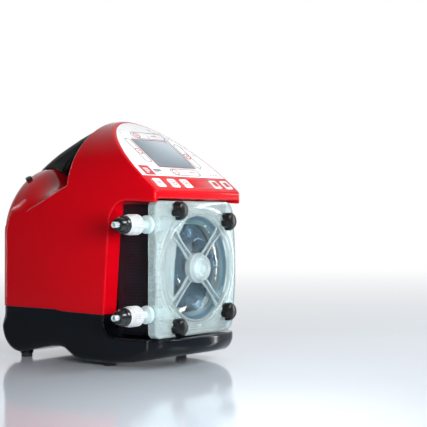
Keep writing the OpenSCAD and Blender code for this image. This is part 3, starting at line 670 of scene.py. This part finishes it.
def grip_field(x, y, z):
    """The bar, widening into the root that lands on the dome."""
    half = 18 + 9 * ease((270 - z) / 26) * ease((y - 212) / 14)
    body = rmax(segment_field(y, z, GRIP), np.abs(x) - half, 8.5)
    return np.maximum(body, 0.15 - case_field(x, y, z))


grip = field_mesh("handle_grip", grip_field, (-22, 116, 228), (22, 272, 324), GRIP_CELL, 55)
piece(grip, "handle_black", stands_for=["carry_handle"])

# ------------------------------------------------------------------ CAD nodes that stay

BEVEL_ANGLE = 38  # degrees beyond which an edge is bevelled
# Widths in millimetres
BEVELS = {"head_flange": 0.6, "head_block": 0.6, "gearbox_plate": 0.5, "power_inlet": 0.5, "key_menu": 0.6,
          "key_down": 0.6, "key_up": 0.6, "key_stop": 0.6, "key_start": 0.6, "rotor_carrier": 0.5,
          "roller_1": 0.5, "roller_2": 0.5, "roller_3": 0.5, "roller_4": 0.5, "outlet_spigot": 0.4,
          "inlet_spigot": 0.4, "feet": 0.6, "vent_plug": 0.5, "signal_sockets": 0.4, "socket_caps": 0.35,
          "power_rocker": 0.5, "roller_axles": 0.4, "rear_plate_screws": 0.25, "cover_window": 0.3}


def dress(node):
    """Gives a CAD node its paint, softened edges and smooth shading."""
    obj = NODES[node]
    obj.data.materials.clear()
    obj.data.materials.append(MATERIALS[SLOT_OF[node]])
    obj.data.polygons.foreach_set("use_smooth", [True] * len(obj.data.polygons))
    m = obj.modifiers.new("weld", "WELD")
    m.merge_threshold = 2e-6
    if node in BEVELS:
        m = obj.modifiers.new("bevel", "BEVEL")
        m.width = BEVELS[node] / 1000
        m.segments = 2
        m.limit_method = "ANGLE"
        m.angle_limit = math.radians(BEVEL_ANGLE)
        m.harden_normals = True
    m = obj.modifiers.new("by_angle", "NODES")
    m.node_group = angle_group()


def angle_group():
    """A node group that splits the shading at sharp edges."""
    found = bpy.data.node_groups.get("split_by_angle")
    if found:
        return found
    tree = bpy.data.node_groups.new("split_by_angle", "GeometryNodeTree")
    tree.interface.new_socket("Geometry", in_out="INPUT", socket_type="NodeSocketGeometry")
    tree.interface.new_socket("Geometry", in_out="OUTPUT", socket_type="NodeSocketGeometry")
    start, end = tree.nodes.new("NodeGroupInput"), tree.nodes.new("NodeGroupOutput")
    angle = tree.nodes.new("GeometryNodeInputMeshEdgeAngle")
    compare = node_of(tree, "FunctionNodeCompare", operation="LESS_THAN")
    compare.inputs[1].default_value = math.radians(SHARP)
    edges = node_of(tree, "GeometryNodeSetShadeSmooth", domain="EDGE")
    link(tree, start.outputs[0], edges.inputs["Geometry"])
    link(tree, angle.outputs["Unsigned Angle"], compare.inputs[0])
    link(tree, compare.outputs[0], edges.inputs["Shade Smooth"])
    link(tree, edges.outputs[0], end.inputs[0])
    return tree


for node in NODES:
    dress(node)

# ------------------------------------------------------------------ panel


FILM_INSET = 4.2


def panel_outline(inset, s0):
    """The panel's edge, moved inwards, above the height s0 on the slope."""
    top = (CROWN - SPRING) / math.sin(TILT) - inset
    base = (SPRING - PANEL_Z) / math.sin(TILT)
    half = HALF - inset
    right = [(half, s0)] if s0 < base else []
    for i in range(61):
        a = math.radians(90 * i / 60)
        if base + top * math.sin(a) > s0:
            right.append((half * math.cos(a), base + top * math.sin(a)))
    return right + [(-x, s) for x, s in reversed(right) if x > 1e-6]


film = plate("overlay_film", [panel_outline(FILM_INSET, 27.6), round_rect(74, 60, 1.5, *SCREEN)],
             on_panel, -0.3, 0.35, 0.1)
piece(film, "film_white", stands_for=["panel_overlay"])

side_x = HALF - FILM_INSET
tip_x = panel_outline(FILM_INSET, 27.2)[1][0] + 0.2
strip = [(-side_x, 3.2), (side_x, 3.2), (side_x, 19.5), (tip_x, 27.2), (-tip_x, 27.2), (-side_x, 19.5)]
key_holes = [round_rect(15.9, 17.9, 2.7, x, KEY_S) for x in KEY_X.values()]
red_film = plate("strip_film", [strip] + key_holes, on_panel, -0.3, 0.25, 0.1)
piece(red_film, "red_shell")


def pill(w, h, cx, cy, line=1.2):
    """A round-ended outline drawn as a line."""
    r = min(w, h) / 2
    return [round_rect(w, h, r, cx, cy, 10), round_rect(w - 2 * line, h - 2 * line, r - line, cx, cy, 10)]


def rect(w, h, cx, cy):
    return [(cx + kx * w / 2, cy + ky * h / 2) for kx, ky in ((-1, -1), (1, -1), (1, 1), (-1, 1))]


INK, INK_DEPTH = 0.35, 0.06  # level of the print on the panel, and its thickness
KEY_TOP = 0.9


def decal(name, loops, paint, level, body="pump_case", slot="film_white"):
    """Ink or a foil mark, as a very thin plate on the surface."""
    made = plate(name, loops, on_panel, level, level + INK_DEPTH)
    return piece(made, slot, body, paint=PRINT[paint])


pills = pill(66, 16, 9, 122) + pill(12, 54, -43, 86) + pill(13, 56, 51.5, 79) + pill(58, 15, 9.5, 39.5)
decal("ink_pills", pills, "grey", INK)
ICONS = [(-14, 122), (-43, 84), (51.5, 79), (-10.5, 39.5)]
loops = []
for i, (cx, cy) in enumerate(ICONS):
    loops += [circle(6.0, cx, cy), circle(4.6, cx, cy)]
    loops.append(rect(5.6, 1.1, cx, cy))
    if i % 2 == 0:
        loops.append(rect(1.1, 1.9, cx, cy + 1.9))
        loops.append(rect(1.1, 1.9, cx, cy - 1.9))
    loops.append(rect(4.2, 0.8, cx, cy - 7.0) if i in (1, 2) else rect(11, 1.3, cx + 35, cy + 0.8))
loops += [rect(19, 20, -66, 41)]
loops += [round_rect(77.4, 63.4, 2.4, *SCREEN), round_rect(76, 62, 1.9, *SCREEN)]
decal("ink_red", loops, "red", INK)
dark = [round_rect(75.9, 61.9, 1.9, *SCREEN), round_rect(74, 60, 1.5, *SCREEN), rect(15, 3.2, -45.5, 42),
        rect(9, 1.0, -48.5, 38.4), circle(1.1, 60, 36), circle(1.1, 66, 36), circle(1.1, 72, 36)]
decal("ink_dark", dark, "dark", INK)
mark = plate("ink_mark", [rect(9, 2.2, -66, 44.5), rect(9, 2.2, -66, 40.5), rect(5.5, 2.2, -67.75, 36.5)],
             on_panel, INK + INK_DEPTH, INK + 0.1)
piece(mark, "film_white")
for key, x in KEY_X.items():
    cy = KEY_S
    if key in ("key_stop", "key_start"):
        loops = [round_rect(8.4, 10, 0.8, x, cy)]
    elif key == "key_menu":
        loops = [rect(7, 1.0, x, cy + 2), rect(7, 1.0, x, cy), rect(7, 1.0, x, cy - 2)]
    else:
        k = 1 if key == "key_up" else -1
        loops = [circle(4.9, x, cy), circle(4.1, x, cy),
                 [(x - 2.4, cy - 1.3 * k), (x + 2.4, cy - 1.3 * k), (x, cy + 2.2 * k)]]
    decal(key + "_sign", loops, "red", KEY_TOP, key, "key_white")

# ------------------------------------------------------------------ head cover

KNOBS = [(60, 60), (60, -60), (-42.5, -73.6), (-42.5, 73.6)]
PORT_Y = 18


def arc_points(cx, cy, r, a0, a1, n):
    steps = [math.radians(a0 + (a1 - a0) * i / n) for i in range(n + 1)]
    return [(cx + r * math.cos(a), cy + r * math.sin(a)) for a in steps]


def cover_outline(inset):
    """Front view of the cover: square corners towards the ports, a bowed far side."""
    return (arc_points(-338, 0, 420 - inset, -9.6, 9.6, 20) + arc_points(59.9, 70, 16 - inset, 12, 90, 8)
            + arc_points(-74, 77, 9 - inset, 90, 180, 7) + arc_points(-74, -77, 9 - inset, 180, 270, 7)
            + arc_points(59.9, -70, 16 - inset, 270, 348, 8))


STATIONS = [16, 22, 28, 34, 42, 50, 58, 63, 67.8]  # along a spoke
FLARE = [1.5, 0.9, 0.3, 0, 0, 0.2, 0.9, 1.6, 2.4]      # how far it widens at each


def spoke_bar(angle, centre, half, y0, y1, bevel):
    """A bar along a spoke: down its middle and widening with it, or to one side and following it."""
    near, far = [], []
    for along, f in zip(STATIONS, FLARE):
        if centre:
            middle = centre + math.copysign(f, centre)
            near.append((along, middle - half))
            far.append((along, middle + half))
        else:
            near.append((along, -half - f))
            far.append((along, half + f))
    c, s = math.cos(math.radians(angle)), math.sin(math.radians(angle))
    loop = [(u * c - v * s, u * s + v * c) for u, v in near + far[::-1]]
    return plate("spoke", [loop], on_head, y0, y1, bevel)


def on_knob(kx, kz):
    """The head's plane, centred on a knob."""
    return lambda u, v, t: on_head(kx + u, kz + v, t)


RIM = [(66.5, 9.4), (66.5, 3.4), (67.0, 2.2), (68.1, 1.6), (69.2, 2.1), (70.0, 3.3), (71.0, 4.3), (72.2, 4.3),
       (73.1, 3.2), (74.0, 2.5), (75.2, 2.5), (76.2, 3.3), (76.9, 4.6), (77.1, 6.0), (76.0, 7.4), (72.6, 8.4),
       (72.5, 16.5), (68.7, 16.5), (68.7, 9.4)]
BOSS = [(3, 6), (3, 2.7), (9.3, 2.7), (9.8, 3.2), (9.8, 6)]
HUB = [(0, 3.2), (11.05, 3.2), (11.05, 12), (19.0, 12), (19.6, 11), (19.6, 2.4), (19.0, 1.4), (17.8, 1.0),
       (17.2, 0.4), (16.8, -3.4), (15.9, -4.7), (14.6, -5), (13.9, -4.2), (12.8, -3.2), (11.7, -4.2),
       (11.0, -5), (7.8, -5), (7.2, -4.2), (6.2, -3.4), (5.2, -4.2), (4.6, -5), (0, -5)]
RIB = 0.9  # half the thickness of a rib
COVER_SHARP = 30

cover = plate("cover_moulding", [cover_outline(0)], on_head, 3.6, 20, 1.5)
cut(cover, [prism(cover_outline(2.6), on_head, 6.6, 30), prism(circle(70, n=96), on_head, -10, 30),
            box(-100, 100, 16.6, 40, 0, 300)])
rim = turned("rim", RIM, on_head, 144)
RUNGS = [8.5 * i for i in range(-4, 5)]
ribs = [box(-82, -70, 5, 15.8, HEAD_Z + k - RIB, HEAD_Z + k + RIB) for k in RUNGS]
ribs += [box(x0, 62, 5, 14, HEAD_Z + k - RIB, HEAD_Z + k + RIB) for k, x0 in ((-79.5, -70), (79.5, -40))]
posts = [prism(circle(8, kx, kz), on_head, 5, 16.5) for kx, kz in KNOBS]
bosses = [turned("boss", BOSS, on_knob(*k)) for k in KNOBS]
cut(cover, [rim] + ribs + posts + bosses, "UNION")
cut(cover, [prism(circle(3.5, kx, kz), on_head, -5, 30) for kx, kz in KNOBS]
    + [prism(circle(12, PORT_Y, HEAD_Z + k), on_x, -110, -68) for k in PORTS])
smooth(cover, COVER_SHARP)
piece(cover, "cover_frost", "head_cover", ["head_cover"])

hub = turned("cover_spokes", HUB, on_head, 72)
DIAGONALS = (45, 135, 225, 315)
ridges = [spoke_bar(angle, side * 3.4, 0.6, 5.4, 9.3, 0.4) for angle in DIAGONALS for side in (-1, 1)]
cut(hub, ridges, "UNION")
smooth(hub, COVER_SHARP)
piece(hub, "cover_frost", "head_cover", paint=HUB_CLEAR)
web = spoke_bar(DIAGONALS[0], 0, 2.7, 7.9, 9.2, 0)
cut(web, [spoke_bar(angle, 0, 2.7, 7.9, 9.2, 0) for angle in DIAGONALS[1:]], "UNION")
web.name = web.data.name = "cover_webs"
smooth(web, COVER_SHARP)
piece(web, "window_clear", "head_cover", paint=WEB_CLEAR)
FROST_EDGE = [(-36, -57.7), (-40, -50), (-42.5, -38), (-42.5, -20), (-41, 3), (-38, 24), (-33, 41), (-24, 54),
              (-12, 66.9)]
frosted = plate("window_frosting", [FROST_EDGE + arc_points(0, 0, 68, 100.2, 238, 40)], on_head, 9.05, 9.35)
piece(frosted, "cover_frost", "head_cover")
arrow = plate("flow_arrow", [[(-35, -56.5), (-30, -51), (-16, -48.5), (-21, -54.5)]], on_head, 9.1, 9.3)
piece(arrow, "film_white", "head_cover", paint=MATERIALS["tube_cream"])

# ------------------------------------------------------------------ knobs and nuts


def knob_field(x, y, z):
    """A five-lobed grip with a domed face, and the screw behind it."""
    r = np.hypot(x, z)
    crown = np.sqrt(r ** 2 + (y - 17) ** 2) - 26
    body = rmax(rmax(r - 12.4, crown, 4.5), y - 3.3, 0.8)
    for i in range(5):
        a = math.radians(54 + 72 * i)
        body = rmax(body, 4.1 - np.hypot(x - 13.9 * math.cos(a), z + 13.9 * math.sin(a)), 1.3)
    return np.minimum(body, np.maximum(r - 3, np.maximum(2 - y, y - 30)))


first = field_mesh("knob_grip_1", knob_field, (-14.5, -11, -14.5), (14.5, 32, 14.5), KNOB_CELL)
shape = np.array([v.co for v in first.data.vertices])
for i, (kx, kz) in enumerate(KNOBS):
    obj = first
    if i:
        obj = bpy.data.objects.new(f"knob_grip_{i + 1}", first.data.copy())
        bpy.context.scene.collection.objects.link(obj)
    moved = shape + np.array([kx, 0, HEAD_Z + kz]) / 1000
    obj.data.vertices.foreach_set("co", moved.astype(np.float32).ravel())
    obj.data.update()
    obj.data.name = obj.name
    piece(obj, "knob_black", f"knob_{i + 1}", [f"knob_{i + 1}"])


def on_port(k):
    """Across, up and out along a port's axis."""
    return lambda u, v, t: (-t, PORT_Y + u, HEAD_Z + k + v)


NUT_R, NUT_RIBS, RIB_DEPTH = 12.8, 26, 1.0
# Profiles along a port's axis: radius, distance from the middle of the head
NUT = [(5.4, 96.5), (6.6, 96.5), (7.4, 97.2), (12.1, 102.4), (NUT_R, 103.2), (NUT_R, 117.5), (12.3, 118.2),
       (12.2, 121), (11.9, 122.6), (11.5, 123.6), (11.2, 124), (10.6, 124), (10.6, 121), (10.9, 120),
       (10.9, 108), (5.4, 108)]
ADAPTER = [(3.6, 26), (8.6, 26), (8.6, 70), (11.0, 70.4), (11.5, 71), (11.5, 86), (10.8, 87), (6.2, 87.3),
           (5.2, 88), (5.2, 112), (3.6, 112)]
INSERT = [(3.9, 117.2), (10.3, 117.2), (10.3, 121.5), (11.1, 122), (11.2, 128.6), (10.5, 130), (9.2, 130.6),
          (8.9, 131.4), (8.6, 137), (7.7, 138.2), (4.8, 138.4), (4.3, 137.8), (3.9, 137)]


def nut_mesh(name, place, n=208):
    """The compression nut: a ribbed barrel with a tapered neck, bored through."""
    points, faces = [], []
    m = len(NUT)
    for r, t in NUT:
        for i in range(n):
            a = 2 * math.pi * i / n
            rib = RIB_DEPTH * max(0.0, math.cos(NUT_RIBS * a)) ** 2 if r == NUT_R else 0
            points.append(place((r - rib) * math.cos(a), (r - rib) * math.sin(a), t))
    for j in range(m):
        for i in range(n):
            i2, j2 = (i + 1) % n, (j + 1) % m
            faces.append((j * n + i, j * n + i2, j2 * n + i2, j2 * n + i))
    made = outward(add_mesh(name, points, faces))
    smooth(made, 38)
    return made


for k, side in zip(PORTS, ("outlet", "inlet")):
    piece(nut_mesh(side + "_nut_ribbed", on_port(k)), "nut_white", side + "_nut", [side + "_nut"])
    piece(turned(side + "_collar", ADAPTER, on_port(k)), "adapter_white", stands_for=[side + "_adapter"])
    piece(turned(side + "_cone", INSERT, on_port(k)), "insert_black", stands_for=[side + "_insert"])

# ------------------------------------------------------------------ stage

AWAY = (0.79, 0.61)  # the way the camera looks, seen from above

floor_mesh = bpy.data.meshes.new("floor")
floor_mesh.from_pydata([(-30, -30, 0), (30, -30, 0), (30, 30, 0), (-30, 30, 0)], [], [(0, 1, 2, 3)])
floor = bpy.data.objects.new("floor", floor_mesh)
bpy.context.scene.collection.objects.link(floor)


def floor_material():
    """A glossy pale table that fades into a white backdrop away from the pump."""
    made = material("floor_paint", (0.66, 0.73, 0.80), 0.10, 0.01, (3, 0.01), (300, 0.004))
    tree = made.node_tree
    bsdf = tree.nodes["Principled BSDF"]
    coords = node_of(tree, "ShaderNodeTexCoord")
    far = node_of(tree, "ShaderNodeVectorMath", operation="DOT_PRODUCT")
    link(tree, coords.outputs["Object"], far.inputs[0])
    far.inputs[1].default_value = (*AWAY, 0)
    fade = ramp(tree, far.outputs["Value"], 0, 1, 0.35, 2.6)
    glow = node_of(tree, "ShaderNodeEmission", Strength=1.0)
    glow.inputs["Color"].default_value = (1, 1, 1, 1)
    blend = node_of(tree, "ShaderNodeMixShader")
    link(tree, fade, blend.inputs[0])
    link(tree, bsdf.outputs[0], blend.inputs[1])
    link(tree, glow.outputs[0], blend.inputs[2])
    link(tree, blend.outputs[0], tree.nodes["Material Output"].inputs["Surface"])
    return made


floor.data.materials.append(floor_material())


def softbox(name, at, towards, width, height, power, beam=180):
    """An unseen area lamp aimed at a point; one with a narrowed beam is left out of reflections."""
    lamp = bpy.data.lights.new(name, "AREA")
    lamp.shape = "RECTANGLE"
    lamp.size, lamp.size_y, lamp.energy, lamp.spread = width, height, power, math.radians(beam)
    obj = bpy.data.objects.new(name, lamp)
    bpy.context.scene.collection.objects.link(obj)
    obj.location = at
    obj.rotation_euler = (Vector(towards) - Vector(at)).to_track_quat("-Z", "Y").to_euler()
    obj.visible_camera = False
    obj.visible_glossy = beam == 180


softbox("front_box", (0.45, -1.25, 0.95), (0, -0.1, 0.2), 0.6, 0.6, 12)
softbox("left_box", (-0.40, -0.74, 0.22), (-0.05, -0.05, 0.14), 0.26, 0.24, 1.75, beam=90)
softbox("chin_box", (1.13, -0.82, 0.33), (0, -0.16, 0.33), 0.06, 0.64, 3)
softbox("edge_box", (-1.05, -0.32, 0.42), (-0.05, -0.1, 0.42), 0.02, 0.7, 1.1)
softbox("camera_box", (-1.2, -1.5, 0.4), (-0.05, -0.1, 0.12), 0.4, 0.4, 3)
softbox("rear_box", (-0.62, 1.2, 0.35), (-0.08, 0.1, 0.12), 0.03, 1.1, 1.7)


def studio_world():
    """White to the camera; as light, a white backdrop behind the pump in a dimmer room."""
    world = bpy.data.worlds.new("studio")
    world.use_nodes = True
    tree = world.node_tree
    tree.nodes.clear()
    out = node_of(tree, "ShaderNodeOutputWorld")
    rays = node_of(tree, "ShaderNodeLightPath")
    seen = node_of(tree, "ShaderNodeBackground", Strength=1.0)
    seen.inputs["Color"].default_value = (1, 1, 1, 1)
    heading = node_of(tree, "ShaderNodeTexCoord")
    towards = node_of(tree, "ShaderNodeVectorMath", operation="DOT_PRODUCT")
    link(tree, heading.outputs["Generated"], towards.inputs[0])
    towards.inputs[1].default_value = (*AWAY, 0.1)
    backdrop = ramp(tree, towards.outputs["Value"], 0.0, 1.0, 0.1, 0.75)
    lit = node_of(tree, "ShaderNodeBackground")
    lit.inputs["Color"].default_value = (0.95, 0.97, 1, 1)
    link(tree, ramp(tree, backdrop, 0.07, 0.95, 0, 1), lit.inputs["Strength"])
    pick = node_of(tree, "ShaderNodeMixShader")
    link(tree, rays.outputs["Is Camera Ray"], pick.inputs[0])
    link(tree, lit.outputs[0], pick.inputs[1])
    link(tree, seen.outputs[0], pick.inputs[2])
    link(tree, pick.outputs[0], out.inputs["Surface"])
    return world


bpy.context.scene.world = studio_world()
bpy.context.scene.view_settings.view_transform = "Standard"

LENS, SENSOR = 92.74, 36
CAMERA_AT = (-1.1130025, -1.0507898, 0.1872222)
AZIMUTH, PITCH = math.radians(-52.3), math.radians(0.34)

camera_data = bpy.data.cameras.new("camera")
camera_data.lens = LENS
camera_data.sensor_width = SENSOR
camera_data.clip_start, camera_data.clip_end = 0.05, 100
camera = bpy.data.objects.new("camera", camera_data)
bpy.context.scene.collection.objects.link(camera)
forward = Vector((-math.sin(AZIMUTH) * math.cos(PITCH), math.cos(AZIMUTH) * math.cos(PITCH), math.sin(PITCH)))
camera.location = CAMERA_AT
camera.rotation_euler = forward.to_track_quat("-Z", "Y").to_euler()
bpy.context.scene.camera = camera
